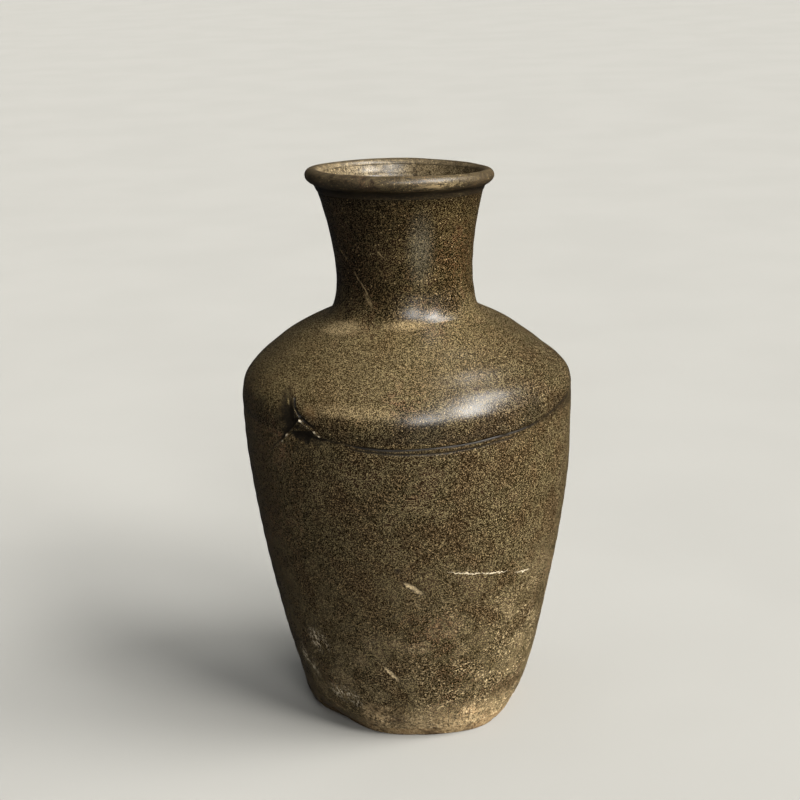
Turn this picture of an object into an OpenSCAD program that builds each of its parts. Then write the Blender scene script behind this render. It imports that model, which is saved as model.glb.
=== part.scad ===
// Small-mouthed stoneware storage bottle, thrown in sections and luted together.
// Every piece is a ring or a disc about the Z axis. The foot rests on z = 0.

/* [Overall] */
// Height from the foot to the crest of the lip
total_h = 160; // [150:1:170]
// Diameter at the widest place, just under the shoulder seam
belly_d = 94.8; // [90:0.2:100]
// Thickness of the clay at the shoulder seam
wall = 4.5; // [3.6:0.1:5.2]

/* [Foot] */
// Diameter of the flat underside
foot_d = 58.4; // [54:0.2:60]
// Diameter at the top of the trimmed heel
heel_d = 66; // [64:0.2:70]
// Height of the trimmed heel
heel_h = 6.4; // [5:0.1:8]
// Thickness of the base disc at its edge, under the wall
disc_edge_h = 3.2; // [2.4:0.1:4]
// Thickness of the base disc in the middle
disc_h = 5.6; // [4.8:0.1:6.6]
// Width of the ledge on the disc that the wall stands on
ledge_w = 5; // [4:0.1:6]

/* [Shoulder] */
// Height of the seam between the wall and the shoulder, measured outside
seam_z = 94; // [90:0.5:96]
// Rise of the scarfed seam from its outer edge to its inner edge
scarf_h = 2.5; // [1:0.1:4]
// Radius at which the turn of the shoulder becomes its slope
turn_r = 43; // [42:0.1:44]
// Height of that place above the seam
turn_h = 11.6; // [10.5:0.1:12.5]

/* [Neck] */
// Radius of the corner where the neck leaves the shoulder
root_r = 22; // [21:0.1:23.5]
// Height of that corner above the seam
root_h = 25.6; // [24.5:0.1:27]
// Radius of the straight throat
throat_r = 15.2; // [13.5:0.1:15.8]
// Thickness of the spigot at the foot of the neck
spigot_wall = 3; // [2.5:0.1:3.2]
// How far the spigot stands out below the inside of the shoulder
spigot_drop = 3; // [2:0.1:4]
// Height of the place where the throat starts to flare
flare_z = 138; // [134:0.5:141]

/* [Lip] */
// Outside diameter of the rolled lip
lip_d = 53.2; // [51:0.2:55]
// Radius of the roll itself
roll_r = 2; // [1.8:0.1:2.3]
// How far below the middle of the roll its sloping underside meets the neck
lip_drop = 4.4; // [3.8:0.1:5]
// Outside radius of the neck at that place
neck_top_r = 23.3; // [22.8:0.1:23.6]
// Thickness of the neck's thinned edge inside the roll
tongue_w = 1; // [0.8:0.1:1.2]

/* [Luting] */
// How far the clay coil in the bottom corner spreads over the disc
base_lute_w = 5; // [4:0.5:7]
// Thickness of the clay smeared over the inside of the shoulder seam
smear = 1.8; // [1.2:0.1:2.4]

/* [Hidden] */

$fn = 96;
steps = 16;            // straight steps along each curve
roll_steps = 24;       // straight steps round the lip
roll_start = -40;      // angle on the roll where its sloping underside starts
roll_sweep = 240;      // angle that the roll turns through, over the crest
lute_steps = 3;        // steps of the wall's inside that the bottom coil climbs
smear_steps = 5;       // steps of the shoulder's inside that the seam's luting covers
neck_lute_steps = 4;   // steps of the shoulder's inside that the neck's coil covers

glaze_colour = [0.30, 0.26, 0.18];
shoulder_colour = [0.34, 0.29, 0.20];
lip_colour = [0.40, 0.34, 0.25];
clay_colour = [0.58, 0.46, 0.33];
slip_colour = [0.47, 0.38, 0.29];

foot_r = foot_d / 2;
heel_r = heel_d / 2;
belly_r = belly_d / 2;
inner_belly_r = belly_r - wall;

// The disc's edge and the wall's heel share one straight bevel.
disc_r = foot_r + (heel_r - foot_r) * disc_edge_h / heel_h * 1.25;
plug_r = disc_r - ledge_w;

// Height on the inside where the scarfed seam ends.
inner_seam_z = seam_z + scarf_h;

// The slope of the shoulder runs on under the neck, to the hole that takes the spigot.
spigot_r = throat_r + spigot_wall;
slope = 0.5;
root_z = seam_z + root_h;
hole_z = root_z + slope * (root_r - spigot_r);
hole_inner_z = hole_z - 1.1 * wall;
spigot_z = hole_inner_z - spigot_drop;

// Centre of the roll, and the places where the neck meets the lip outside and inside.
lip_c = [lip_d / 2 - roll_r, total_h - roll_r];
function on_roll(angle) = lip_c + roll_r * [cos(angle), sin(angle)];
under_lip = [neck_top_r, lip_c.y - lip_drop];
inside_lip = on_roll(roll_start + roll_sweep);
tongue_out = lip_c - [0.2, 0.4];
tongue_in = tongue_out - [tongue_w, 0];

function bezier(a, b, c, d, t) =
    pow(1 - t, 3) * a + 3 * t * pow(1 - t, 2) * b + 3 * t * t * (1 - t) * c + pow(t, 3) * d;

// Points along a curve from a to d, with b and c as its handles.
function curve(a, b, c, d) = [for (i = [0 : steps]) bezier(a, b, c, d, i / steps)];

// Points first to last of a list, and the same list the other way round.
function part(list, first, last) = [for (i = [first : last]) list[i]];
function back(list) = [for (i = [len(list) - 1 : -1 : 0]) list[i]];

// Outside and inside of the wall, both from the bottom up.
wall_outside = curve(
    [heel_r, heel_h],
    [heel_r, heel_h + 3],
    [belly_r, seam_z * 0.6],
    [belly_r, seam_z]);
wall_inside = curve(
    [plug_r, disc_h],
    [plug_r + 1, disc_h + 4],
    [inner_belly_r, seam_z * 0.6],
    [inner_belly_r, inner_seam_z]);

// Outside of the shoulder: its turn, then its slope to the corner of the neck.
turn = [turn_r, seam_z + turn_h];
turn_outside = curve(
    [belly_r, seam_z],
    [belly_r, seam_z + 0.61 * turn_h],
    turn + [2.6, -2.4],
    turn);
slope_outside = curve(
    turn,
    turn + [-10.5, 9.6],
    [root_r + 4.5, root_z - 4.5 * slope],
    [root_r, root_z]);

// Inside of the shoulder, about one wall thickness in.
inner_turn = turn - wall * [0.68, 0.73];
turn_inside = curve(
    [inner_belly_r, inner_seam_z],
    [inner_belly_r, inner_seam_z + 2.4],
    inner_turn + [1.4, -1.3],
    inner_turn);
slope_inside = curve(
    inner_turn,
    inner_turn + [-9.5, 8.6],
    [spigot_r + 7, hole_inner_z - 7 * slope],
    [spigot_r, hole_inner_z]);

// Outside of the neck from its corner up to the lip, and the flare inside it.
neck_outside = curve(
    [root_r, root_z],
    [root_r - 4.1, root_z + 4],
    [under_lip.x - 4.3, under_lip.y - 12.4],
    under_lip);
neck_flare = curve(
    [throat_r, flare_z],
    [throat_r, flare_z + 7],
    inside_lip - [1.6, 5.2],
    inside_lip);

// The roll, from its sloping underside, round the outside and over the crest to the inside.
roll = [for (i = [0 : roll_steps]) on_roll(roll_start + roll_sweep * i / roll_steps)];

// Where the bottom coil ends: on the wall's inside, and on the top of the disc.
lute_top = wall_inside[lute_steps];
lute_toe = [plug_r - base_lute_w, disc_h];
// Where the seam's luting ends: on the shoulder, and one step down the wall.
smear_top = turn_inside[smear_steps];
smear_foot = wall_inside[steps - 1];
// Where the coil at the neck ends: on the shoulder's inside, and on the spigot.
neck_lute_edge = slope_inside[steps - neck_lute_steps];
neck_lute_foot = [spigot_r, spigot_z + 0.6];

// A ring or disc with the given outline, as radius and height.
module turned(outline) {
    rotate_extrude() polygon(outline);
}

// The base: a thick disc with a ledge round its edge for the wall to stand on.
module base_disc() {
    color(clay_colour) turned([
        [0, 0],
        [foot_r, 0],
        [disc_r, disc_edge_h],
        [plug_r, disc_edge_h],
        [plug_r, disc_h],
        [0, disc_h]
    ]);
}

// The thrown wall, from the ledge on the disc to the scarfed seam.
module body_wall() {
    color(glaze_colour) turned(concat(
        [[plug_r, disc_edge_h], [disc_r, disc_edge_h]],
        wall_outside,
        back(wall_inside)
    ));
}

// The shoulder: a thrown dome that laps over the wall and has a hole for the neck.
module shoulder_dome() {
    color(shoulder_colour) turned(concat(
        turn_outside,
        part(slope_outside, 1, steps),
        [[spigot_r, hole_z]],
        back(slope_inside),
        part(back(turn_inside), 1, steps)
    ));
}

// The neck: its spigot goes through the shoulder and its foot sits on the slope.
module neck_tube() {
    color(glaze_colour) turned(concat(
        [[throat_r, spigot_z], [spigot_r, spigot_z], [spigot_r, hole_z]],
        neck_outside,
        [tongue_out, tongue_in],
        back(neck_flare)
    ));
}

// The lip: a strip folded over the thinned edge of the neck.
module lip_roll() {
    color(lip_colour) turned(concat([under_lip], roll, [tongue_in, tongue_out]));
}

// The coil of clay pressed into the corner between the disc and the wall.
module base_lute() {
    color(slip_colour) turned(concat(
        part(wall_inside, 0, lute_steps),
        part(curve(lute_top, lute_top - [1, 2.6], lute_toe + [2.6, 0.6], lute_toe), 1, steps)
    ));
}

// The clay smeared over the inside of the shoulder seam.
module shoulder_lute() {
    color(slip_colour) turned(concat(
        [smear_foot],
        part(turn_inside, 0, smear_steps),
        part(curve(smear_top, smear_top - [smear, 0], smear_foot - [smear, 0], smear_foot),
             1, steps - 1)
    ));
}

// The coil of clay in the corner between the spigot and the inside of the shoulder.
module neck_lute() {
    color(slip_colour) turned(concat(
        [neck_lute_foot],
        part(back(slope_inside), 0, neck_lute_steps),
        part(curve(neck_lute_edge, neck_lute_edge - [1.5, -0.2],
                   neck_lute_foot + [1.5, 0.2], neck_lute_foot), 1, steps - 1)
    ));
}

base_disc();
body_wall();
shoulder_dome();
neck_tube();
lip_roll();
base_lute();
shoulder_lute();
neck_lute();
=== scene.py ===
import math

import bpy
import numpy as np
from mathutils import Matrix, Vector

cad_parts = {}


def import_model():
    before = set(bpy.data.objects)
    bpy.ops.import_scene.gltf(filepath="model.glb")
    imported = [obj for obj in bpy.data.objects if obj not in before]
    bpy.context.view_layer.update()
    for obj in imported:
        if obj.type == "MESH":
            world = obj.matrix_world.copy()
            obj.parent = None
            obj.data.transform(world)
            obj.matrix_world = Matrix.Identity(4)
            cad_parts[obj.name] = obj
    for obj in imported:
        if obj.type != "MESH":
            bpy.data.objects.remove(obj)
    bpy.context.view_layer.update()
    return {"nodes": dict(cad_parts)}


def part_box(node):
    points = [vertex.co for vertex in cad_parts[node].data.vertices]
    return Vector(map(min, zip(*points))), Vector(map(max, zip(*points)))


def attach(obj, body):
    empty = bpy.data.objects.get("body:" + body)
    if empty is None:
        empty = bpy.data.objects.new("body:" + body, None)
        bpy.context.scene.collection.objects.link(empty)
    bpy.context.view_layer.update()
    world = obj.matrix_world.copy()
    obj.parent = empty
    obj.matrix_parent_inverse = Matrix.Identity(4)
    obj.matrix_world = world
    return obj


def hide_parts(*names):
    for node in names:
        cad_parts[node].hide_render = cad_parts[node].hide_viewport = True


# A stoneware bottle: one detailed mesh for each clay piece that shows, each with its own glaze
# or clay. Shapes are worked out in millimetres. "Angle" is in degrees round the bottle: 0 is the
# front (-Y) and 90 the right (+X). "Height" is above the table.

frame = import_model()
MM = 0.001
RNG_SEED = 20


def span(node):
    """Lowest and highest corner of a CAD node, in millimetres."""
    low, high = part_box(node)
    return np.array(low) / MM, np.array(high) / MM


# ---------------------------------------------------------------- sizes, read off the CAD pieces

DISC_HIGH = span("base_disc")[1]
WALL_LOW, WALL_HIGH = span("body_wall")
DOME_LOW, DOME_HIGH = span("shoulder_dome")
NECK_LOW = span("neck_tube")[0]
LIP_LOW, LIP_HIGH = span("lip_roll")

TOTAL_H = LIP_HIGH[2]
BELLY_R = WALL_HIGH[0]
SEAM_Z = DOME_LOW[2]
INNER_SEAM_Z = WALL_HIGH[2]
DISC_R = DISC_HIGH[0]
DISC_H = DISC_HIGH[2]
LEDGE_Z = WALL_LOW[2]
HOLE_Z = DOME_HIGH[2]
SPIGOT_Z = NECK_LOW[2]
UNDER_LIP_Z = LIP_LOW[2]

# The rest of the design's own dimensions, which the boxes don't show.
WALL = 4.5
FOOT_R = 29.2
HEEL_R = 33.0
HEEL_H = 6.4
LEDGE_W = 5.0
TURN = np.array([43.0, SEAM_Z + 11.6])    # where the turn of the shoulder becomes its slope
ROOT = np.array([22.0, SEAM_Z + 25.6])    # the corner where the neck leaves the shoulder
THROAT_R = 15.2
SPIGOT_R = 18.2
FLARE_Z = 138.0
SLOPE = 0.5
ROLL_R = 2.0
NECK_TOP_R = 23.3
TONGUE_W = 1.0
PLUG_R = DISC_R - LEDGE_W


# ---------------------------------------------------------------- outlines, as radius and height

def bezier(a, b, c, d, count=60):
    """Points along a curve from a to d, with b and c as its handles."""
    t = np.linspace(0, 1, count)[:, None]
    a, b, c, d = (np.asarray(p, float) for p in (a, b, c, d))
    return (1 - t) ** 3 * a + 3 * t * (1 - t) ** 2 * b + 3 * t * t * (1 - t) * c + t ** 3 * d


def joined(*parts):
    """Stretches end to end, with each shared point kept once."""
    out = [np.asarray(parts[0], float)]
    for p in parts[1:]:
        out.append(np.asarray(p, float)[1:])
    return np.vstack(out)


def run(points):
    """Distance along a line, at each of its points."""
    return np.r_[0, np.cumsum(np.linalg.norm(np.diff(points, axis=0), axis=1))]


def resampled(points, step):
    """The same line with points about step(height) apart, or step apart if it is a number."""
    lengths = run(points)
    marks = [0.0]
    while marks[-1] < lengths[-1]:
        height = np.interp(marks[-1], lengths, points[:, 1])
        marks.append(marks[-1] + (step(height) if callable(step) else step))
    marks = np.array(marks) * lengths[-1] / marks[-1]
    return np.column_stack([np.interp(marks, lengths, points[:, k]) for k in (0, 1)])


LIP_C = np.array([LIP_HIGH[0] - ROLL_R, TOTAL_H - ROLL_R])
UNDER_LIP = np.array([NECK_TOP_R, UNDER_LIP_Z])
# The CAD's roll ends at 200 degrees. Here it ends where it runs smoothly into the flare inside
# the mouth.
ROLL_ARC = np.radians(np.linspace(-40, 172, 49))
ROLL_RIM = ROLL_R * np.column_stack([np.cos(ROLL_ARC), np.sin(ROLL_ARC)])
ROLL = np.vstack([UNDER_LIP, LIP_C + ROLL_RIM])
INSIDE_LIP = ROLL[-1]
TONGUE_OUT = LIP_C - [0.2, 0.4]
TONGUE_IN = TONGUE_OUT - [TONGUE_W, 0]

WALL_OUTSIDE = bezier((HEEL_R, HEEL_H), (HEEL_R, HEEL_H + 3),
                      (BELLY_R, SEAM_Z * 0.6), (BELLY_R, SEAM_Z))
WALL_INSIDE = bezier((PLUG_R, DISC_H), (PLUG_R + 1, DISC_H + 4),
                     (BELLY_R - WALL, SEAM_Z * 0.6), (BELLY_R - WALL, INNER_SEAM_Z), 13)
DOME_OUTSIDE = joined(
    bezier((BELLY_R, SEAM_Z), (BELLY_R, SEAM_Z + 7.1), TURN + [2.6, -2.4], TURN),
    bezier(TURN, TURN + [-10.5, 9.6], ROOT + [4.5, -4.5 * SLOPE], ROOT))
INNER_TURN = TURN - WALL * np.array([0.68, 0.73])
INNER_HOLE_Z = HOLE_Z - 1.1 * WALL
DOME_INSIDE = joined(
    bezier((BELLY_R - WALL, INNER_SEAM_Z), (BELLY_R - WALL, INNER_SEAM_Z + 2.4),
           INNER_TURN + [1.4, -1.3], INNER_TURN, 7),
    bezier(INNER_TURN, INNER_TURN + [-9.5, 8.6],
           (SPIGOT_R + 7, INNER_HOLE_Z - 7 * SLOPE), (SPIGOT_R, INNER_HOLE_Z), 9))
NECK_OUTSIDE = bezier(ROOT, ROOT + [-4.1, 4], UNDER_LIP + [-4.3, -12.4], UNDER_LIP)
NECK_FLARE = bezier(INSIDE_LIP, INSIDE_LIP - [1.6, 5.2],
                    (THROAT_R, FLARE_Z + 7), (THROAT_R, FLARE_Z))

# The whole surface that shows, from the table up the outside, over the lip and down into the
# throat.
SECTIONS = {
    "foot": np.array([(FOOT_R, 0), (DISC_R, LEDGE_Z)]),
    "wall": joined([(DISC_R, LEDGE_Z), (HEEL_R, HEEL_H)], WALL_OUTSIDE),
    "dome": DOME_OUTSIDE,
    "neck": NECK_OUTSIDE,
    "roll": ROLL,
    "flare": NECK_FLARE,
}
SURFACE = joined(*SECTIONS.values())
OUTLINE = joined(*[SECTIONS[n] for n in ("foot", "wall", "dome", "neck")])
# Outward directions are softened over this far to each side, so that relief doesn't tear at
# corners.
NORMAL_BLUR = 0.7


def on_surface(marks):
    """Points on the whole surface, by their distance along it."""
    total = run(SURFACE)
    return np.column_stack([np.interp(marks, total, SURFACE[:, k]) for k in (0, 1)])


def outside(section, step):
    """Points of one section of the surface, and its softened outward direction at each."""
    names = list(SECTIONS)
    before = [SECTIONS[n] for n in names[:names.index(section)]]
    start = run(joined(*before))[-1] if before else 0.0
    points = resampled(SECTIONS[section], step)
    marks = start + run(points)
    tangent = on_surface(marks + NORMAL_BLUR) - on_surface(marks - NORMAL_BLUR)
    tangent /= np.linalg.norm(tangent, axis=1)[:, None]
    return points, np.column_stack([tangent[:, 1], -tangent[:, 0]])


# ---------------------------------------------------------------- noise and distances

LATTICE_SIZE = 32


def lattice(seed):
    """Random values from -1 to 1 on a cube of points, which noise repeats in every direction."""
    return np.random.default_rng(RNG_SEED + seed).random((LATTICE_SIZE,) * 3) * 2 - 1


def noise(points, size, seed):
    """Smooth noise from -1 to 1 in space, with lumps about size millimetres across."""
    table = lattice(seed)
    q = points / size + 100    # keeps the cells' numbers positive
    cell = np.floor(q).astype(int)
    f = q - cell
    f = f * f * (3 - 2 * f)
    total = np.zeros(len(points))
    for corner in range(8):
        bits = np.array([corner & 1, corner >> 1 & 1, corner >> 2 & 1])
        weight = np.prod(np.where(bits, f, 1 - f), axis=1)
        i, j, k = ((cell + bits) % LATTICE_SIZE).T
        total += weight * table[i, j, k]
    return total


def smooth(x, low, high):
    """Goes smoothly from 0 to 1 as x goes from low to high."""
    t = np.clip((x - low) / (high - low), 0, 1)
    return t * t * (3 - 2 * t)


def bump(x, width):
    """A soft hump: 1 at x = 0, falling away over width."""
    return np.exp(-(x / width) ** 2)


def skin(angle, height):
    """Flat coordinates in millimetres on the unrolled outside: round the girth, and up."""
    radius = np.interp(height, OUTLINE[:, 1], OUTLINE[:, 0])
    return np.column_stack([np.radians(angle) * radius, height])


def to_line(where, marks):
    """Distance from each place to a line through marks, and how far along it the nearest point
    is, 0 to 1. The distance is positive on the left of the line's direction."""
    points = skin(*np.array(marks, float).T)
    best = np.full(len(where), np.inf)
    side = np.ones(len(where))
    along = np.zeros(len(where))
    lengths = np.linalg.norm(np.diff(points, axis=0), axis=1)
    done = 0.0
    for a, b, length in zip(points[:-1], points[1:], lengths):
        d = (b - a) / length
        t = np.clip((where - a) @ d, 0, length)
        off = where - a - t[:, None] * d
        distance = np.linalg.norm(off, axis=1)
        near = distance < best
        best = np.where(near, distance, best)
        turn = d[0] * off[:, 1] - d[1] * off[:, 0]
        side = np.where(near, np.where(turn >= 0, 1.0, -1.0), side)
        along = np.where(near, (done + t) / lengths.sum(), along)
        done += length
    return best * side, along


# ---------------------------------------------------------------- the marks in the clay

# Height of the seam above or below its level, by angle. It wavers where the shoulder was
# pressed down.
SEAM_WAVE = [(-180, 0.3), (-130, -0.5), (-80, 0.2), (-45, 0.1), (-30, 0.3), (-10, -1.3),
             (10, -1.2), (20, -0.9), (30, -0.3), (40, 0), (50, 0.9), (65, 2.5), (80, 3.5), (95, 3),
             (120, 0.9), (150, -0.4), (180, 0.3)]
# How sharply the seam shows, by angle.
SEAM_SHARP = [(-180, 0.35), (-75, 0.25), (-50, 0.2), (-30, 0.55), (-12, 1.0), (15, 1.0),
              (60, 0.8), (90, 0.5), (180, 0.35)]

# The pinched fold on the seam, as (angle, height): the slit, the light lip under it, the crease
# that trails left and the bar between the two.
FOLD_SLIT = [(-42.75, 103.5), (-41.25, 101.5), (-38, 99.25), (-35.5, 98), (-32.5, 97), (-30.5, 96)]
FOLD_LIP = [(-44, 104.5), (-41.5, 101.25), (-38, 98.25), (-36.25, 97.25), (-34, 96.5),
            (-32.25, 95.75), (-30, 94.5)]
FOLD_TAIL = [(-38, 98.25), (-42, 95), (-44.25, 93.5), (-46, 91.75), (-49, 89.5), (-54, 86.75),
             (-64.5, 82.5), (-80, 78.75), (-100, 77)]
FOLD_BAR = [(-42.75, 95), (-40.5, 95.5), (-38, 95.5), (-35.75, 95.75)]
# Round marks, here and below: angle, height, half width, half height, depth or height of the
# mark, and its lean in degrees if it has one.
FOLD_DENTS = [(-43.75, 99.5, 2.2, 4.2, 0.8), (-36.75, 94, 3.6, 1.8, 0.7),
              (-42, 97.5, 1.2, 1.4, 0.4)]
FOLD_BEADS = [(-32, 95.75, 0.5, 0.45, 0.3), (-30.25, 94.75, 0.4, 0.35, 0.28),
              (-38, 98.25, 0.5, 0.4, 0.25), (-44.5, 93.5, 0.6, 0.45, 0.26),
              (-46.5, 91.5, 0.5, 0.4, 0.2), (-42.5, 92, 0.35, 0.35, 0.2),
              (-45.5, 102.5, 0.35, 0.9, 0.2)]
# Painted shade: darkening laid over the fold's dents.
FOLD_DENT_SHADE = [(-44.5, 99.75, 3.4, 5.2, 0.2), (-36.5, 93.5, 5.2, 2.8, 0.19),
              (-41.5, 97.5, 2.4, 2.4, 0.1)]

# Knocks in the glaze.
CHIPS = [(0, 51.5, 3.4, 0.75, 0.3, -36), (-10.5, 23, 3.2, 0.7, 0.2, -50),
         (-5.5, 57, 0.8, 0.6, 0.2), (-17.5, 33, 0.7, 0.7, 0.25), (-2, 41, 0.45, 0.45, 0.2),
         (-7.5, 42.5, 0.4, 0.5, 0.2), (132, 47, 3.0, 1.0, 0.25, 25),
         (-128, 66, 2.0, 0.8, 0.25, -20), (170, 28, 1.6, 1.1, 0.25, 10)]

# Radius of the worn foot at the table, by angle: knocked back on the front left, proud on the
# front right.
FOOT_EDGE = [(-180, 29.6), (-150, 28.4), (-120, 29.8), (-100, 30.6), (-85, 30), (-70, 28.8),
             (-60, 27.1), (-50, 26.6), (-40, 27.2), (-30, 28.2), (-20, 28.9), (0, 29), (20, 30.2),
             (35, 31.3), (45, 30.8), (55, 30.2), (70, 30), (100, 30), (125, 29), (150, 30.2),
             (180, 29.6)]

# Swells and hollows: how far out, then an angle and a height, each followed by its reach.
SWELLS = [
    (-0.85, 85, 42, SEAM_Z + 17.5, 7.0),    # the shoulder sags on the right, next to the neck
    (-0.75, 85, 42, SEAM_Z + 9.5, 5.5),     # and further out
    (-1.9, 92, 36, 2.5, 4.0),               # the heel is trimmed back on the right
    (-0.55, -85, 50, 125, 9),               # the neck is drawn in on the left, near its root
    (0.65, 10, 48, ROOT[1] + 1.8, 4.4),     # its root is full at the front
    (-0.4, 95, 40, ROOT[1] - 2.0, 3.0),     # and pared back on the right
]

RING_PITCH = 5.2
# The clay drawn into the neck's corner: how far out, and how far it reaches along the surface.
FILLET_DEPTH, FILLET = 0.273, 3.5
# What the neck and the shoulder each rise for a millimetre along the surface, at the corner.
NECK_RISE, SHOULDER_RISE = 0.7, 0.45
# Height of the groove's middle above the lip's lower edge.
GROOVE_UP = 1.5
# How far the tipped lip goes up at the front, and down on the right.
LIP_BACK, LIP_RIGHT = 1.3, 0.65


def by_angle(table, angle):
    """Value at each angle, along a smooth curve through the table."""
    a, v = np.array(table, float).T
    i = np.clip(np.searchsorted(a, angle, side="right") - 1, 0, len(a) - 2)
    t = (angle - a[i]) / (a[i + 1] - a[i])
    slope = np.gradient(v, a)
    slope[0] = slope[-1] = (slope[0] + slope[-1]) / 2
    h = a[i + 1] - a[i]
    return ((2 * t ** 3 - 3 * t ** 2 + 1) * v[i] + (t ** 3 - 2 * t ** 2 + t) * h * slope[i]
            + (3 * t ** 2 - 2 * t ** 3) * v[i + 1] + (t ** 3 - t ** 2) * h * slope[i + 1])


def spots(where, table):
    """Height of all the round marks in a table, added together."""
    total = np.zeros(len(where))
    for angle, height, half_w, half_h, depth, *tilt in table:
        turn = math.radians(tilt[0]) if tilt else 0.0
        p = where - skin(np.array([float(angle)]), np.array([float(height)]))
        x = p[:, 0] * math.cos(turn) + p[:, 1] * math.sin(turn)
        y = p[:, 1] * math.cos(turn) - p[:, 0] * math.sin(turn)
        total += depth * np.exp(-((x / half_w) ** 2 + (y / half_h) ** 2))
    return total


def throwing(angle, height, base):
    """Unevenness left by throwing, with faint rings that rise a little as they go round."""
    uneven = 0.32 * noise(base, 34, 1) + 0.13 * noise(base, 13, 2) + 0.05 * noise(base, 5, 3)
    oval = (0.25 * np.cos(np.radians(2 * angle - 40))
            * smooth(height, 8, 40) * smooth(-height, -118, -100))
    turns = 2 * np.pi * (height / RING_PITCH + angle / 360)
    rings = (0.045 * np.sin(turns) * (0.4 + 0.6 * smooth(noise(base, 22, 4), -0.4, 0.5))
             * smooth(height, 8, 16))
    return uneven + oval + rings


def shaping(angle, height):
    """Where the whole bottle isn't round."""
    side = np.sin(np.radians(angle))
    out = sum(amount * bump(angle - at, reach) * bump(height - level, rise)
              for amount, at, reach, level, rise in SWELLS)
    # The wall is fuller on the right, and the neck stands a little to the right.
    out += 0.5 * bump(angle - 88, 42) * smooth(height, 6, 18) * smooth(-height, -86, -70)
    out += 0.35 * side * bump(height - 136, 15)
    # The mouth is drawn in a little behind each side.
    out -= 0.45 * bump(np.abs(angle) - 120, 45) * smooth(height, 146, 156)
    # Clay is drawn up into the corner between the neck and the shoulder, but not at the sides.
    rise = height - ROOT[1]
    along = np.where(rise > 0, rise / NECK_RISE, -rise / SHOULDER_RISE)
    out += FILLET_DEPTH * np.clip(1 - along / FILLET, 0, None) ** 2
    out -= 0.42 * side ** 2 * bump(rise + 1.0, 3.5)
    return out


def seam(angle, height, base):
    """The shoulder's edge stands proud and the wall is cut in just below it, with a fainter
    second line under that. Its broad part and its fine part."""
    sharp = by_angle(SEAM_SHARP, angle)
    up = height - SEAM_Z + 0.12 * noise(base, 2.5, 5)
    near_fold = bump(angle + 42, 9) * bump(height - 97, 7)
    patchy = 0.65 + 0.5 * noise(base, 6, 16)
    line = 0.10 * bump(up - 0.9, 0.5) - 0.34 * bump(up + 0.05, 0.32) - 0.06 * bump(up + 0.3, 1.5)
    second = (-0.16 * bump(up + 1.5 + 0.5 * noise(base, 9, 17), 0.28)
              * smooth(noise(base, 11, 18), -0.2, 0.4))
    broad = 0.16 * sharp * smooth(up, -1.2, 1.2) * bump(up, 7)
    return broad, sharp * (1 - near_fold) * (patchy * line + second)


def fold(where, height, base):
    """The pinched fold's creases, lips and beads of glaze. Its dents are broad, and apart."""
    d, along = to_line(where, FOLD_SLIT)
    d = d + 0.12 * noise(base, 1.3, 6)
    fine = (-0.6 * bump(d, 0.27) + 0.1 * bump(d - 0.8, 0.5)) * smooth(1 - along, 0.0, 0.5)
    d, along = to_line(where, FOLD_LIP)
    d = d + 0.12 * noise(base, 0.9, 19)
    fine += 0.3 * bump(d + 0.1, 0.24) * (0.3 + 0.7 * smooth(along, 0.1, 0.4))
    d, along = to_line(where, FOLD_TAIL)
    d = d + 0.3 * noise(base, 2.0, 7)
    fade = 1 - 0.9 * smooth(along, 0.10, 0.42)
    fine += fade * (0.26 * bump(d, 0.26) - 0.2 * bump(d + 0.7, 0.36))
    fine += 0.24 * bump(to_line(where, FOLD_BAR)[0], 0.26)
    middle = skin(np.array([-39.0]), np.array([96.0]))[0, 0]
    crumple = bump(where[:, 0] - middle, 8) * bump(height - 95, 6)
    fine += crumple * (0.12 * noise(base, 1.1, 8) + 0.12 * noise(base, 2.3, 9))
    return fine + spots(where, FOLD_BEADS)


def crumbling(height, base):
    """The knocked and crumbled edge of the foot, and the broken line of the heel."""
    low = smooth(-height, -11, -2)
    crumb = noise(base, 2.6, 10) + 0.6 * noise(base, 1.2, 11)
    heel = bump(height - HEEL_H + 1.0 * noise(base, 14, 13), 1.1)
    return (low * (0.16 * noise(base, 3.2, 12) - 0.45 * smooth(crumb, 0.55, 1.1))
            - 0.22 * heel * smooth(noise(base, 9, 14), -0.2, 0.5))


def relief(angle, height, base):
    """How far the outside stands off the plain outline: the broad part and the fine part. The
    last value is how much lighter or darker the glaze is painted than the fine part alone
    makes it; it holds painted shade under the lip and round the fold's dents."""
    where = skin(angle, height)
    seam_broad, seam_fine = seam(angle, height, base)
    broad = (throwing(angle, height, base) + shaping(angle, height) + seam_broad
             - spots(where, FOLD_DENTS))
    # A groove under the lip's bead.
    groove = height - UNDER_LIP_Z - GROOVE_UP + 0.3 * noise(base, 8, 21)
    depth = (0.42 + 0.12 * noise(base, 5, 22)) * bump(groove, 0.75)
    fine = (seam_fine + fold(where, height, base) + crumbling(height, base)
            - spots(where, CHIPS) - depth)
    # The groove is painted less dark than it is deep; the dark line it keeps is painted shade. The
    # darkening below it and round the fold's dents is painted shade too.
    tone = 0.75 * depth - 0.09 * bump(height - UNDER_LIP_Z, 2.4) - spots(where, FOLD_DENT_SHADE)
    return broad, fine, tone


def lean(points, height):
    """The mouth tips back: the lip is high at the front and a little low on the right."""
    k = smooth(height, 128, TOTAL_H - 2)
    points[:, 2] -= k * (LIP_BACK * points[:, 1] + LIP_RIGHT * points[:, 0]) / LIP_HIGH[0]
    return points


# ---------------------------------------------------------------- meshes

# Faces that meet at more than this, in degrees, have a sharp edge between them.
SHARP_ANGLE = 55
# The fold's middle and half its width, in degrees, where angles are closest.
FOLD_ANGLE, FOLD_HALF = -43, 17
# A disc's sections stop this far from the axis, and a fan of triangles closes the rest.
AXIS_R = 0.4


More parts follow.
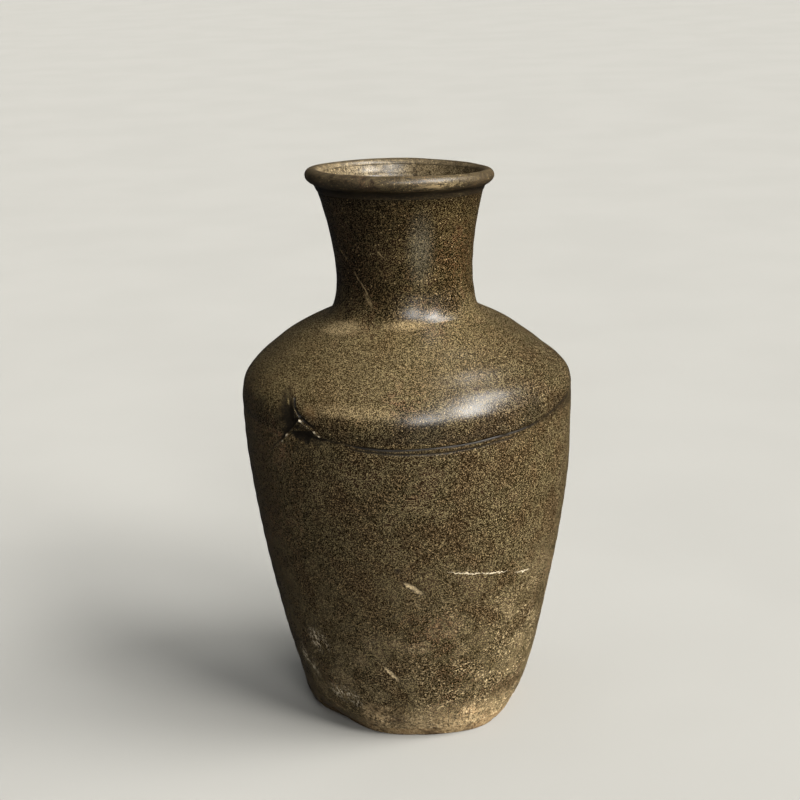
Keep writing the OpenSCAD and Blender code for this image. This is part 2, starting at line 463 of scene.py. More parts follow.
def angles(front_step, back_step, fold_step=None):
    """Angles once round, closer together at the front and closest at the fold."""
    out = [-180.0]
    while out[-1] < 180:
        a = out[-1]
        step = front_step + (back_step - front_step) * float(smooth(abs(a), 78, 105))
        if fold_step:
            past_fold = max(0.0, abs(a - FOLD_ANGLE) - FOLD_HALF)
            step = min(step, fold_step + 0.15 * past_fold ** 0.5)
        out.append(a + step)
    out = np.array(out)
    return -180 + (out[:-1] + 180) * 360 / (out[-1] + 180)


def hidden(*corners, start=0.0, end=0.0, away=(0.0, 0.0), step=1.5, inner=0.0):
    """A stretch of the section that another piece covers, or of the inside. start and end say how
    much of the outside's relief it carries, and away is the direction of that relief. inner is 1
    inside the mouth."""
    line = resampled(np.array(corners, float), step)
    count = len(line)
    normals = np.tile(np.array(away, float), (count, 1))
    return line, normals, np.linspace(start, end, count), np.full(count, inner)


def shown(section, step, start=1.0, end=1.0):
    """A stretch that shows. What faces the axis is inside the mouth."""
    points, normals = outside(section, step)
    inner = smooth(-normals[:, 0], 0.25, 0.95)
    return points, normals, np.linspace(start, end, len(points)), inner


def turned(name, stretches, round_angles, capped=False, shape=None):
    """A ring turned about the axis from stretches that follow each other round its section. A
    capped one starts and ends at the axis, and is a disc. shape may change the points at the
    end."""
    points, normals, weights, inner = (
        np.concatenate([s[k][:-1] for s in stretches]) for k in range(4))
    rows, cols = len(points), len(round_angles)
    angle = np.tile(round_angles, rows)
    radius, height = (np.repeat(points[:, k], cols) for k in (0, 1))
    nr, nz = (np.repeat(normals[:, k], cols) for k in (0, 1))
    weight, inner = np.repeat(weights, cols), np.repeat(inner, cols)
    sin, cos = np.sin(np.radians(angle)), np.cos(np.radians(angle))
    base = np.column_stack([radius * sin, -radius * cos, height])

    broad, fine, tone = relief(angle, height, base)
    off = weight * (broad + fine)
    worn = (by_angle(FOOT_EDGE, angle) - FOOT_R) * smooth(-height, -9, -0.5)
    radius2 = radius + nr * off + weight * worn * np.clip(radius / FOOT_R, 0, 1)
    height2 = height + nz * off + weight * by_angle(SEAM_WAVE, angle) * bump(height - SEAM_Z, 9)
    height2 = np.maximum(height2, 0.0)
    xyz = lean(np.column_stack([radius2 * sin, -radius2 * cos, height2]), height)
    if shape is not None:
        xyz = shape(xyz, radius, height)

    row = np.arange(rows - 1 if capped else rows)[:, None] * cols
    col = np.arange(cols)[None, :]
    above, beside = (row + cols) % (rows * cols), (col + 1) % cols
    quads = np.stack([row + col, row + beside, above + beside, above + col], axis=-1)
    faces = quads.reshape(-1, 4).tolist()
    if capped:
        last = (rows - 1) * cols
        low, high = xyz[:cols].mean(0), xyz[last:].mean(0)
        xyz = np.vstack([xyz, low, high])
        faces += [(rows * cols, (c + 1) % cols, c) for c in range(cols)]
        faces += [(last + c, last + (c + 1) % cols, rows * cols + 1) for c in range(cols)]
        weight, fine, tone, inner = (
            np.r_[v, v[0], v[-1]] for v in (weight, fine, tone, inner))
    # The fine attribute holds the relief and the tone, with painted shade under the lip and round
    # the fold's dents.
    return mesh_object(name, xyz, faces, {"fine": weight * (fine + tone), "inner": inner})


def mesh_object(name, xyz, faces, attributes):
    """A new object in the scene. Materials read the attributes, which give each point a value."""
    mesh = bpy.data.meshes.new(name)
    mesh.from_pydata(xyz * MM, [], faces)
    mesh.update()
    for key, values in attributes.items():
        layer = mesh.attributes.new(key, "FLOAT", "POINT")
        layer.data.foreach_set("value", values.astype(np.float32))
    mesh.polygons.foreach_set("use_smooth", np.ones(len(mesh.polygons), bool))
    mesh.set_sharp_from_angle(angle=math.radians(SHARP_ANGLE))
    obj = bpy.data.objects.new(name, mesh)
    bpy.context.scene.collection.objects.link(obj)
    return obj


BODY_ANGLES = angles(0.55, 1.4, 0.33)
NECK_ANGLES = angles(1.0, 1.4)


def wall_step(height):
    """Rows are closest at the foot, at the knocks and just under the seam."""
    if height < 16:
        return 0.5
    if height > 84:
        return 0.28
    return 0.6 if 46 < height < 62 else 0.85


def underside(xyz, radius, height):
    """A shallow hollow in the flat underside, with the spiral left by turning it."""
    spiral = 0.06 * np.sin(radius * 3.1 + np.arctan2(xyz[:, 0] + 4, xyz[:, 1] - 3))
    hollow = (0.55 * smooth(-radius, -24, -15)
              + 0.12 * (1 + noise(xyz, 2.4, 15)) * smooth(-radius, -28, -26))
    up = np.maximum(hollow + spiral * smooth(-radius, -26, -22), 0.0)
    xyz[:, 2] += np.where(height < 0.01, up, 0.0)
    return xyz


def base_disc():
    outer = shown("foot", 0.4)
    return turned("foot_disc", [
        hidden((AXIS_R, 0), (FOOT_R, 0), start=1, end=1, step=0.7),
        outer,
        hidden((DISC_R, LEDGE_Z), (PLUG_R, LEDGE_Z), start=1, end=0, away=outer[1][-1]),
        hidden((PLUG_R, LEDGE_Z), (PLUG_R, DISC_H), (AXIS_R, DISC_H)),
        hidden((AXIS_R, DISC_H), (AXIS_R, DISC_H - 0.01), step=1.0),
    ], BODY_ANGLES, capped=True, shape=underside)


def body_wall():
    outer = shown("wall", wall_step)
    return turned("thrown_wall", [
        outer,
        hidden((BELLY_R, SEAM_Z), (BELLY_R - WALL, INNER_SEAM_Z), start=1, end=0,
               away=outer[1][-1]),
        hidden(*WALL_INSIDE[::-1], (PLUG_R, LEDGE_Z), step=5),
        hidden((PLUG_R, LEDGE_Z), (DISC_R, LEDGE_Z), start=0, end=1, away=outer[1][0]),
    ], BODY_ANGLES)


def shoulder_dome():
    outer = shown("dome", lambda height: 0.26 if height < SEAM_Z + 11 else 0.5)
    return turned("thrown_shoulder", [
        outer,
        hidden(ROOT, (SPIGOT_R, HOLE_Z), start=1, end=0, away=outer[1][-1]),
        hidden((SPIGOT_R, HOLE_Z), *DOME_INSIDE[::-1], step=3),
        hidden((BELLY_R - WALL, INNER_SEAM_Z), (BELLY_R, SEAM_Z), start=0, end=1,
               away=outer[1][0]),
    ], BODY_ANGLES)


def neck_tube():
    outer, flare = shown("neck", 0.5), shown("flare", 0.6, 1.0, 0.0)
    return turned("thrown_neck", [
        outer,
        hidden(UNDER_LIP, TONGUE_OUT, TONGUE_IN, start=1, end=0, away=outer[1][-1]),
        hidden(TONGUE_IN, INSIDE_LIP, start=0, end=1, away=flare[1][0]),
        flare,
        hidden((THROAT_R, FLARE_Z), (THROAT_R, SPIGOT_Z), inner=1.0),
        hidden((THROAT_R, SPIGOT_Z), (SPIGOT_R, SPIGOT_Z), (SPIGOT_R, HOLE_Z)),
        hidden((SPIGOT_R, HOLE_Z), ROOT, start=0, end=1, away=outer[1][0]),
    ], NECK_ANGLES)


def lip_roll():
    outer = shown("roll", 0.3)
    return turned("rolled_lip", [
        outer,
        hidden(INSIDE_LIP, TONGUE_IN, start=1, end=0, away=outer[1][-1], step=0.8),
        hidden(TONGUE_IN, TONGUE_OUT, step=0.8),
        hidden(TONGUE_OUT, UNDER_LIP, start=0, end=1, away=outer[1][0], step=0.8),
    ], NECK_ANGLES)


# Each piece's maker, the CAD node that it stands for, and its material slot.
PIECES = [
    (base_disc, "base_disc", "bare_clay"),
    (body_wall, "body_wall", "body_glaze"),
    (shoulder_dome, "shoulder_dome", "shoulder_glaze"),
    (neck_tube, "neck_tube", "neck_glaze"),
    (lip_roll, "lip_roll", "lip_glaze"),
]


# ---------------------------------------------------------------- materials

def srgb(red, green, blue):
    """A colour as read off a screen, 0 to 255, made linear."""
    linear = [((c / 255 + 0.055) / 1.055) ** 2.4 if c > 10 else c / 255 / 12.92
              for c in (red, green, blue)]
    return (*linear, 1.0)


# How far a patch of colour reaches in and out through the surface.
BLOB_DEPTH = 6.0


class Surface:
    """A node material, built up with short calls. Lengths in it are in millimetres."""

    def __init__(self, name):
        self.material = bpy.data.materials.new(name)
        self.material.use_nodes = True
        self.tree = self.material.node_tree
        self.shader = self.tree.nodes["Principled BSDF"]
        where = self.tree.nodes.new("ShaderNodeTexCoord").outputs["Object"]
        self.place = self.vector("SCALE", where, scale=1 / MM)
        apart = self.node("ShaderNodeSeparateXYZ", {0: self.place})
        self.across, self.height = apart.outputs["X"], apart.outputs["Z"]

    def node(self, kind, inputs, **props):
        """A new node. Its inputs take values or other nodes' outputs."""
        made = self.tree.nodes.new(kind)
        for key, value in props.items():
            setattr(made, key, value)
        for key, value in inputs.items():
            if isinstance(value, bpy.types.NodeSocket):
                self.tree.links.new(value, made.inputs[key])
            else:
                made.inputs[key].default_value = value
        return made

    def vector(self, operation, a, b=None, scale=None):
        made = self.node("ShaderNodeVectorMath", {0: a}, operation=operation)
        if b is not None:
            if isinstance(b, bpy.types.NodeSocket):
                self.tree.links.new(b, made.inputs[1])
            else:
                made.inputs[1].default_value = b
        if scale is not None:
            made.inputs["Scale"].default_value = scale
        return made.outputs["Value" if operation == "LENGTH" else "Vector"]

    def math(self, operation, a, b):
        return self.node("ShaderNodeMath", {0: a, 1: b}, operation=operation).outputs[0]

    def ramp(self, value, low, high, to_low=0.0, to_high=1.0):
        """Goes smoothly from to_low to to_high as value goes from low to high."""
        made = self.node("ShaderNodeMapRange",
                         {"Value": value, "From Min": low, "From Max": high,
                          "To Min": to_low, "To Max": to_high}, interpolation_type="SMOOTHSTEP")
        return made.outputs["Result"]

    def noise(self, size, detail, rough, stretch=None):
        """Noise from about 0.25 to 0.75, with lumps about size across."""
        place = self.vector("MULTIPLY", self.place, stretch) if stretch else self.place
        made = self.node("ShaderNodeTexNoise", {"Vector": place, "Scale": 1 / size,
                                                "Detail": detail, "Roughness": rough})
        return made.outputs[0]

    def specks(self, size, low, high):
        """Round specks of mixed sizes, one in each cell of a scatter. Each has a random radius
        from low to high, and one below 0 doesn't show."""
        made = self.node("ShaderNodeTexVoronoi", {"Vector": self.place, "Scale": 1 / size})
        pick = self.node("ShaderNodeSeparateColor", {0: made.outputs["Color"]}).outputs[0]
        radius = self.ramp(pick, 0.0, 1.0, low, high)
        edge = self.math("SUBTRACT", radius, made.outputs["Distance"])
        return self.ramp(edge, -0.04, 0.06)

    def attribute(self, name):
        return self.node("ShaderNodeAttribute", {}, attribute_name=name).outputs["Fac"]

    def mix(self, share, a, b, blend="MIX"):
        """Colour a, with a share of colour b mixed in."""
        made = self.node("ShaderNodeMix", {0: share, 6: a, 7: b},
                         data_type="RGBA", blend_type=blend)
        return made.outputs[2]

    def blob(self, angle, height, half_w, half_h, tilt=0.0, soft=0.35, place=None):
        """A mask that is 1 in an oval patch on the outside and 0 round it. soft is how much of
        the patch its edge takes up, and place may hold shaken places."""
        radius = float(np.interp(height, OUTLINE[:, 1], OUTLINE[:, 0]))
        t = math.radians(angle)
        out = Vector((math.sin(t), -math.cos(t), 0))
        side, up = Vector((math.cos(t), math.sin(t), 0)), Vector((0, 0, 1))
        c, s = math.cos(math.radians(tilt)), math.sin(math.radians(tilt))
        axes = Matrix((side * c + up * s, up * c - side * s, out)).transposed()
        made = self.node("ShaderNodeMapping",
                         {"Vector": place or self.place,
                          "Location": out * radius + up * height,
                          "Rotation": axes.to_euler(),
                          "Scale": (half_w, half_h, BLOB_DEPTH)}, vector_type="TEXTURE")
        far = self.vector("LENGTH", made.outputs[0])
        return self.ramp(far, 1 - soft, 1.0, 1.0, 0.0)

    def blobs(self, table, place=None):
        """One mask for all the patches in a table."""
        return self.most(*[self.blob(*patch, place=place) for patch in table])

    def most(self, *masks):
        total = masks[0]
        for m in masks[1:]:
            total = self.math("MAXIMUM", total, m)
        return total

    def times(self, *values):
        total = values[0]
        for v in values[1:]:
            total = self.math("MULTIPLY", total, v)
        return total

    def finish(self, colour, roughness, bump_height, bump_distance, specular=0.3):
        """The material itself, with its colour, roughness and bump joined to the shader."""
        links = self.tree.links
        links.new(colour, self.shader.inputs["Base Color"])
        links.new(roughness, self.shader.inputs["Roughness"])
        self.shader.inputs["Specular IOR Level"].default_value = specular
        bump_node = self.node("ShaderNodeBump", {"Height": bump_height, "Strength": 1.0,
                                                 "Distance": bump_distance * MM})
        links.new(bump_node.outputs[0], self.shader.inputs["Normal"])
        return self.material


# Colours of the glaze and the clay.
INK = srgb(15, 11, 6)
OCHRE = srgb(112, 97, 66)
TAN = srgb(150, 131, 97)
WARM_CREAM = srgb(178, 158, 122)
MOUTH = srgb(132, 117, 90)
CREAM = srgb(172, 160, 138)
BUFF = srgb(138, 117, 84)
RUST = srgb(112, 88, 60)
UMBER = srgb(58, 45, 30)
NECK_SHEEN_GREY = srgb(112, 108, 92)
LIP_GREY = srgb(100, 92, 80)
DARK_GLAZE = srgb(26, 17, 5), srgb(23, 18, 5), srgb(31, 17, 8)
LIGHT_GLAZE = srgb(110, 92, 65), srgb(102, 91, 64), srgb(116, 91, 66)
# What darkens the glaze of the neck, on its left and on its right. The left's deeper darkening is
# painted shade.
NECK_VEIL_AND_SHADE = srgb(150, 141, 134), srgb(200, 192, 172)

# The grain's range, and the roughness of each material at its two ends.
GRAIN = 0.38, 0.62
BODY_ROUGH = 0.27, 0.35
UPPER_ROUGH = 0.24, 0.32
LIP_ROUGH = 0.32, 0.45
CLAY_ROUGH = 0.75, 0.92
LUTING_ROUGH = 0.7, 0.9
# How much rougher the glaze is where it is worn, and in the fold's creases.
WORN_ROUGH, CREASE_ROUGH = 0.4, 0.16

# Patches of colour: angle, height, half width, half height, tilt in degrees, and softness.
# The slope's second patch, at the front under the neck's root, is a painted highlight. The patch on
# the turn is a painted reflection of the low window.
PALE_SLOPE_AND_HIGHLIGHT = [(-47, 118.5, 9.0, 2.8, 8, 0.7), (2, 120, 8, 1.8, 0, 0.8)]
TURN_HIGHLIGHT = -18, 102, 22, 2.6, 0, 0.9
BARE_FRONT = 16, 2, 26, 15, 0, 0.9
SCUFFS = [(-58, 20, 5, 8, 25, 0.8), (-45, 30, 5, 6, 35, 0.8), (-36, 13, 8, 4, -20, 0.8)]
LONG_SCRATCH = [(19, 54.75, 5.8, 0.23, -12), (31, 53, 5.2, 0.26, -10),
                (45.5, 50.25, 3.8, 0.23, -12)]
TORN_CHIPS = [(0, 51.5, 3.8, 0.85, -36, 0.6), (-10.5, 23, 3.8, 0.7, -50, 0.6)]
FOLD_RUST = -34.5, 101, 3.6, 2.2, -30, 0.9
NECK_SCRATCHES = [(-57, 138, 3.8, 0.28, -45), (-36.5, 130, 6.6, 0.30, -52),
                  (-30, 126, 3.6, 0.8, -50, 0.8), (-17.5, 139, 2.3, 0.24, -47)]
# A painted sheen: a pale grey streak up the front right of the neck.
NECK_SHEEN_STREAK = 14, 141, 5.5, 16, 0, 0.95
# A painted highlight: pale streaks on the front right of the lip.
LIP_HIGHLIGHT_STREAK = 22, 158.5, 9, 2.0, 0, 0.6


def tinted(s, colour, mask, grain, dark, light, tint):
    """A tint inside a mask. Its share is dark on the dark grains and light on the light ones."""
    return s.mix(s.times(mask, s.ramp(grain, 0.42, 0.60, dark, light)), colour, tint)


def grains(s):
    """Fine salt-and-pepper grain: dark and light of three colours each, that drift into one
    another over the surface. Returns its colour and its height."""
    drift, other = s.noise(24.0, 3.0, 0.55), s.noise(9.0, 4.0, 0.6)
    low = s.mix(s.ramp(drift, 0.38, 0.60), DARK_GLAZE[0], DARK_GLAZE[1])
    low = s.mix(s.ramp(other, 0.52, 0.66), low, DARK_GLAZE[2])
    high = s.mix(s.ramp(other, 0.36, 0.58), LIGHT_GLAZE[0], LIGHT_GLAZE[1])
    red = s.times(s.ramp(drift, 0.50, 0.66), s.ramp(s.noise(1.4, 2.0, 0.6), 0.4, 0.6))
    high = s.mix(red, high, LIGHT_GLAZE[2])
    fine, coarse = s.noise(0.28, 1.0, 0.6), s.noise(0.85, 2.0, 0.6)
    grain = s.math("ADD", s.math("MULTIPLY", fine, 0.78), s.math("MULTIPLY", coarse, 0.22))
    level = s.math("ADD", grain, s.ramp(s.noise(9.0, 4.0, 0.6), 0.25, 0.75, -0.02, 0.02))
    return s.mix(s.ramp(level, 0.505, 0.62), low, high), grain


def speckled(s):
    """The glaze. All pieces share it, so that it runs over their joints. Returns its colour and
    the grain's height."""
    colour, grain = grains(s)
    # The slope of the shoulder is lighter, with pale patches, some of them painted highlights. Its
    # turn above the seam is darkened with painted shade.
    wander = s.math("ADD", s.height, s.ramp(s.noise(7.0, 3.0, 0.6), 0.3, 0.7, -3.0, 3.0))
    slope = s.times(s.ramp(wander, SEAM_Z + 5, SEAM_Z + 13),
                    s.ramp(wander, ROOT[1] + 6, ROOT[1] - 3), s.ramp(s.across, 8, 38, 1.0, 0.0))
    colour = tinted(s, colour, slope, grain, 0.04, 0.34, OCHRE)
    # Painted highlights: the patch on the turn and the front patch under the neck's root. The patch
    # on the left of the slope is pale glaze.
    pale = s.most(s.blobs(PALE_SLOPE_AND_HIGHLIGHT), s.times(s.blob(*TURN_HIGHLIGHT), 0.7))
    colour = s.mix(s.times(pale, s.ramp(grain, 0.42, 0.58, 0.08, 0.65)), colour, TAN)
    # Painted shade: the band of the turn just above the seam is darkened with INK.
    turn = s.times(s.ramp(wander, SEAM_Z + 7, SEAM_Z + 2.5),
                   s.ramp(s.height, SEAM_Z - 0.5, SEAM_Z + 0.5))
    colour = s.mix(s.times(turn, 0.45), colour, INK)
    # The right side above the seam is darker, and so is the neck, with painted shade darkening its
    # left.
    right = s.times(s.ramp(s.across, 4, 34, 0.0, 0.24),
                    s.ramp(s.height, SEAM_Z - 5, SEAM_Z + 6))
    colour = s.mix(right, colour, INK)
    neck = s.ramp(wander, ROOT[1] - 1, ROOT[1] + 9)
    veil_and_shade = s.mix(s.ramp(s.across, -17, 3), *NECK_VEIL_AND_SHADE)
    colour = s.mix(s.times(neck, 0.85), colour, veil_and_shade, "MULTIPLY")
    # Sparse crystals and pinholes.
    colour = s.mix(s.times(s.specks(0.8, -0.40, 0.24), 0.6), colour, TAN)
    colour = s.mix(s.times(s.specks(0.9, -0.35, 0.24), 0.7), colour, INK)
    return colour, grain


def broken_edges(s, colour):
    """Glaze runs thin and light off ridges, and pools dark in hollows. The attribute also carries
    painted shade under the lip and round the fold's dents, which the dark share lays on.
    """
    fine = s.attribute("fine")
    colour = s.mix(s.ramp(fine, 0.12, 0.40, 0.0, 0.75), colour, CREAM)
    return s.mix(s.ramp(fine, -0.02, -0.18, 0.0, 0.9), colour, INK)


def pits(s):
    """The bottoms of the creases, where dirt takes the gloss away."""
    return s.ramp(s.attribute("fine"), -0.03, -0.14)


def shaken(s, amount, size):
    """Places moved about a little, which makes the edge of a mark ragged."""
    wobble = s.node("ShaderNodeTexNoise", {"Vector": s.place, "Scale": 1 / size, "Detail": 3.0})
    moved = s.vector("SUBTRACT", wobble.outputs["Color"], (0.5, 0.5, 0.5))
    return s.vector("ADD", s.place, s.vector("SCALE", moved, scale=amount))


def mouth_wear(s):
    """Pale wear inside the mouth, most of it on the left."""
    side = s.ramp(s.across, 16, -10, 0.70, 0.85)
    blotch = s.ramp(s.noise(1.8, 5.0, 0.75), 0.40, 0.60, 0.25, 1.0)
    return s.times(s.attribute("inner"), side, blotch,
                   s.ramp(s.noise(0.4, 3.0, 0.7), 0.42, 0.58, 0.20, 1.0))


def foot_clay(s):
    """The colour of bare clay along the foot."""
    clay = s.mix(s.ramp(s.noise(4.0, 4.0, 0.6), 0.45, 0.72), BUFF, RUST)
    clay = s.mix(s.ramp(s.noise(0.5, 3.0, 0.7), 0.48, 0.62, 0.0, 0.8), clay, WARM_CREAM)
    return s.mix(s.ramp(s.noise(0.7, 3.0, 0.7), 0.53, 0.62, 0.0, 0.8), clay, UMBER)


def body_glaze():
    s = Surface("body_glaze")
    colour, grain = speckled(s)
    colour = broken_edges(s, colour)
    # Wear: pale rubbing low down, and bare clay along the foot, most of it at the front.
    rub = s.times(s.ramp(s.noise(9.0, 5.0, 0.7), 0.47, 0.62), s.ramp(s.height, 62, 10))
    colour = tinted(s, colour, rub, grain, 0.10, 0.55, OCHRE)
    edge = s.math("ADD", s.height, s.ramp(s.noise(9.0, 5.0, 0.65), 0.25, 0.75, -9.0, 9.0))
    bare = s.most(s.times(s.ramp(edge, 9.0, 1.0), s.ramp(s.across, -30, 4, 0.4, 1.0)),
                  s.times(s.blob(*BARE_FRONT), s.ramp(edge, 19.0, 7.0)))
    bare = s.times(bare, s.ramp(s.noise(0.8, 3.0, 0.65), 0.40, 0.56, 0.15, 1.0))
    colour = s.mix(bare, colour, foot_clay(s))
    # Specks low on the right, and scuffs low on the left.
    dots = s.times(s.ramp(s.noise(0.75, 3.0, 0.7, stretch=(1.0, 1.0, 1.5)), 0.56, 0.61),
                   s.ramp(s.noise(7.0, 3.0, 0.6), 0.40, 0.56), s.ramp(s.height, 72, 20),
                   s.ramp(s.across, -18, 16, 0.35, 1.0))
    colour = s.mix(s.times(dots, 0.7), colour, WARM_CREAM)
    scuffs = s.times(s.blobs(SCUFFS), s.ramp(s.noise(0.8, 3.0, 0.65), 0.50, 0.57),
                     s.ramp(s.noise(4.0, 4.0, 0.7, stretch=(1.0, 1.0, 0.5)), 0.43, 0.54))
    colour = s.mix(scuffs, colour, CREAM)
    # The long scratch and the two torn chips.
    scratch = s.times(s.blobs(LONG_SCRATCH, shaken(s, 1.6, 1.1)),
                      s.ramp(s.noise(0.9, 2.0, 0.6), 0.36, 0.5, 0.25, 0.8))
    colour = s.mix(scratch, colour, CREAM)
    chip = s.times(s.blobs(TORN_CHIPS, shaken(s, 1.9, 0.7)),
                   s.ramp(s.noise(0.7, 3.0, 0.7), 0.38, 0.54, 0.35, 1.0))
    colour = s.mix(s.times(chip, 0.8), colour, WARM_CREAM)
    worn = s.most(s.times(s.most(bare, chip, rub), WORN_ROUGH), s.times(pits(s), CREASE_ROUGH))
    rough = s.math("ADD", s.ramp(grain, *GRAIN, *BODY_ROUGH), worn)
    return s.finish(colour, rough, grain, 0.06)


def shoulder_glaze():
    s = Surface("shoulder_glaze")
    colour, grain = speckled(s)
    colour = s.mix(s.times(s.blob(*FOLD_RUST), 0.3), colour, RUST)
    colour = broken_edges(s, colour)
    rough = s.math("ADD", s.ramp(grain, *GRAIN, *UPPER_ROUGH), s.times(pits(s), CREASE_ROUGH))
    return s.finish(colour, rough, grain, 0.04)


def neck_glaze():
    s = Surface("neck_glaze")
    colour, grain = speckled(s)
    # Painted sheen: the pale grey streak up the neck.
    colour = tinted(s, colour, s.blob(*NECK_SHEEN_STREAK), grain, 0.06, 0.34, NECK_SHEEN_GREY)
    scratches = s.times(s.blobs(NECK_SCRATCHES, shaken(s, 1.2, 1.6)),
                        s.ramp(s.noise(1.5, 2.0, 0.6), 0.40, 0.55, 0.12, 0.36))
    colour = s.mix(scratches, colour, TAN)
    colour = broken_edges(s, colour)
    colour = s.mix(mouth_wear(s), colour, MOUTH)
    return s.finish(colour, s.ramp(grain, *GRAIN, *UPPER_ROUGH), grain, 0.04)


def lip_glaze():
    s = Surface("lip_glaze")
    colour, grain = speckled(s)
    colour = s.mix(0.07, colour, LIP_GREY)
    crest = s.ramp(s.height, TOTAL_H - 2.4, TOTAL_H - 0.6)
    worn = s.times(crest, s.ramp(s.noise(2.2, 4.0, 0.65), 0.40, 0.6))
    # Painted highlight: pale streaks across the lip's front right.
    highlight_streaks = s.times(s.blob(*LIP_HIGHLIGHT_STREAK),
                      s.ramp(s.noise(1.6, 3.0, 0.6, stretch=(0.4, 1.0, 1.6)), 0.46, 0.56))
    colour = s.mix(s.most(s.times(worn, 0.096), s.times(highlight_streaks, 0.56)), colour, TAN)
    colour = broken_edges(s, colour)
    colour = s.mix(mouth_wear(s), colour, MOUTH)
    return s.finish(colour, s.ramp(grain, *GRAIN, *LIP_ROUGH), grain, 0.05)


def bare_clay():
    """The unglazed underside, with stains from the kiln, and darker towards the left: kiln stain
    with painted shade.
    """
    s = Surface("bare_clay")
    grain = s.noise(0.5, 4.0, 0.7)
    colour = s.mix(s.ramp(s.noise(7.0, 4.0, 0.6), 0.38, 0.65), BUFF, RUST)
    colour = s.mix(s.times(s.ramp(grain, 0.48, 0.62), 0.7), colour, WARM_CREAM)
    colour = s.mix(s.times(s.ramp(s.noise(0.8, 3.0, 0.7), 0.52, 0.62), 0.8), colour, UMBER)
    # Kiln stains, and a darkening towards the left that is partly painted shade.
    stain_and_shade = s.most(s.times(s.ramp(s.noise(4.0, 5.0, 0.7), 0.46, 0.62), 0.75),
                   s.ramp(s.across, 6, -24, 0.0, 0.6))
    colour = s.mix(stain_and_shade, colour, UMBER)
    return s.finish(colour, s.ramp(grain, 0.3, 0.7, *CLAY_ROUGH), grain, 0.16, specular=0.15)


def luting_clay():
    """The clay smeared over the joints inside."""
    s = Surface("luting_clay")
    grain = s.noise(0.6, 4.0, 0.7)
    smears = s.noise(3.0, 3.0, 0.6, stretch=(1.0, 1.0, 3.0))
    colour = s.mix(s.ramp(smears, 0.35, 0.65), UMBER, BUFF)
    return s.finish(colour, s.ramp(grain, 0.3, 0.7, *LUTING_ROUGH), s.math("ADD", grain, smears),
                    0.18, specular=0.15)


MATERIALS = {f.__name__: f() for f in
             (body_glaze, shoulder_glaze, neck_glaze, lip_glaze, bare_clay, luting_clay)}


# ---------------------------------------------------------------- pieces

for make, cad_node, slot in PIECES:
    piece = make()
    piece.data.materials.append(MATERIALS[slot])
    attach(piece, "root")
    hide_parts(cad_node)

for cad_node in ("base_lute", "shoulder_lute", "neck_lute"):
    lute = frame["nodes"][cad_node]
    lute.data.materials.clear()
    lute.data.materials.append(MATERIALS["luting_clay"])


# ---------------------------------------------------------------- floor, light and camera

FLOOR_HALF = 7.0
FLOOR_COLOURS = srgb(131, 130, 126), srgb(133, 132, 128)
# What the camera sees past the floor, and what lights the bottle from there.
PALE_SKY = srgb(219, 216, 207)
DIM_SKY, DIM_STRENGTH = (0.80, 0.79, 0.76, 1), 0.03

SENSOR, LENS = 36.0, 78.0
CAMERA_PLACE = -0.002, -0.4808, 0.2363
PITCH, ROLL_ANGLE = 16.68, 1.8
CLIP = 0.05, 30

# Each light's name, azimuth, elevation, spread and strength, its colour, and whether the glaze
# reflects it.
LIGHTS = [
    ("window", 47, 36, 20, 4.2, (1.0, 0.98, 0.94), True),
    ("window_left", 12, 28, 20, 2.1, (1.0, 0.99, 0.97), True),
    ("window_high", 74, 50, 28, 3.4, (1.0, 0.99, 0.97), True),
    ("window_wide", 88, 8, 60, 9.6, (1.0, 0.98, 0.93), False),
    ("overhead", 180, 80, 60, 1.6, (0.97, 0.99, 1.0), False),
]
LIGHT_DISTANCE = 3.0


def floor():
    """A pale plain floor. Metres, here and below."""
    mesh = bpy.data.meshes.new("floor")
    corners = [(x * FLOOR_HALF, y * FLOOR_HALF, 0) for x, y in ((-1, -1), (1, -1), (1, 1), (-1, 1))]
    mesh.from_pydata(corners, [], [(0, 1, 2, 3)])
    obj = bpy.data.objects.new("floor", mesh)
    bpy.context.scene.collection.objects.link(obj)
    s = Surface("floor_paint")
    tone = s.noise(90.0, 2.0, 0.5)
    colour = s.mix(s.ramp(tone, 0.3, 0.7), *FLOOR_COLOURS)
    rough = s.ramp(tone, 0.3, 0.7, 0.8, 0.9)
    obj.data.materials.append(s.finish(colour, rough, tone, 0.0, specular=0.0))
    # The dark room round a bottle, and not the bright cloth under it, is what its glaze reflects.
    obj.visible_glossy = False


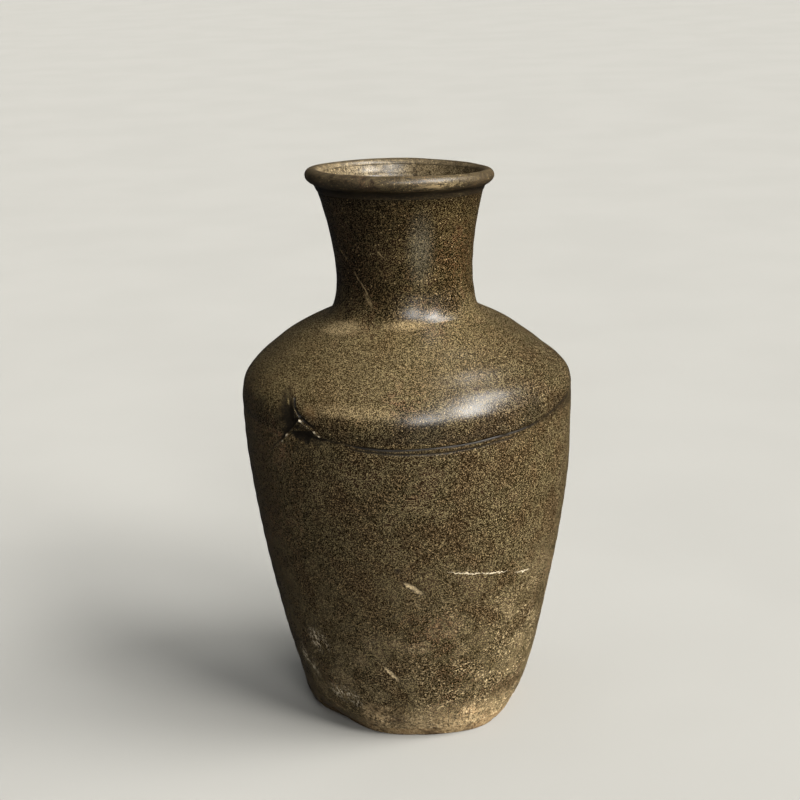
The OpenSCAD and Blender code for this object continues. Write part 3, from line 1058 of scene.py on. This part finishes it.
def toward(azimuth, elevation):
    """Direction from the bottle. Azimuth 0 is the front and 90 the right."""
    a, e = math.radians(azimuth), math.radians(elevation)
    return Vector((math.sin(a) * math.cos(e), -math.cos(a) * math.cos(e), math.sin(e)))


def glow(name, azimuth, elevation, spread, strength, colour, glossy):
    """Soft light from far off, spread over an angle in degrees. It lights the floor evenly."""
    light = bpy.data.lights.new(name, "SUN")
    light.angle, light.energy, light.color = math.radians(spread), strength, colour
    way = toward(azimuth, elevation)
    obj = bpy.data.objects.new(name, light)
    obj.location = way * LIGHT_DISTANCE + Vector((0, 0, TOTAL_H * MM * 0.5))
    obj.rotation_euler = way.to_track_quat("Z", "Y").to_euler()
    obj.visible_glossy = glossy
    bpy.context.scene.collection.objects.link(obj)


def camera():
    """It looks along +Y, tipped down and turned a little about its own axis."""
    data = bpy.data.cameras.new("camera")
    data.sensor_width, data.lens = SENSOR, LENS
    data.clip_start, data.clip_end = CLIP
    obj = bpy.data.objects.new("camera", data)
    tip = Matrix.Rotation(math.pi / 2 - math.radians(PITCH), 4, "X")
    turn = tip @ Matrix.Rotation(-math.radians(ROLL_ANGLE), 4, "Z")
    obj.matrix_world = Matrix.Translation(CAMERA_PLACE) @ turn
    bpy.context.scene.collection.objects.link(obj)
    bpy.context.scene.camera = obj


def world():
    """Dim all round for the light, and as pale as the far floor where the camera sees past it."""
    w = bpy.data.worlds.new("world")
    w.use_nodes = True
    tree = w.node_tree
    dim, pale = tree.nodes["Background"], tree.nodes.new("ShaderNodeBackground")
    dim.inputs["Color"].default_value = DIM_SKY
    dim.inputs["Strength"].default_value = DIM_STRENGTH
    pale.inputs["Color"].default_value = PALE_SKY
    seen, both = tree.nodes.new("ShaderNodeLightPath"), tree.nodes.new("ShaderNodeMixShader")
    tree.links.new(seen.outputs["Is Camera Ray"], both.inputs[0])
    tree.links.new(dim.outputs[0], both.inputs[1])
    tree.links.new(pale.outputs[0], both.inputs[2])
    tree.links.new(both.outputs[0], tree.nodes["World Output"].inputs["Surface"])
    bpy.context.scene.world = w


floor()
world()
camera()
for values in LIGHTS:
    glow(*values)
bpy.context.scene.view_settings.view_transform = "Standard"
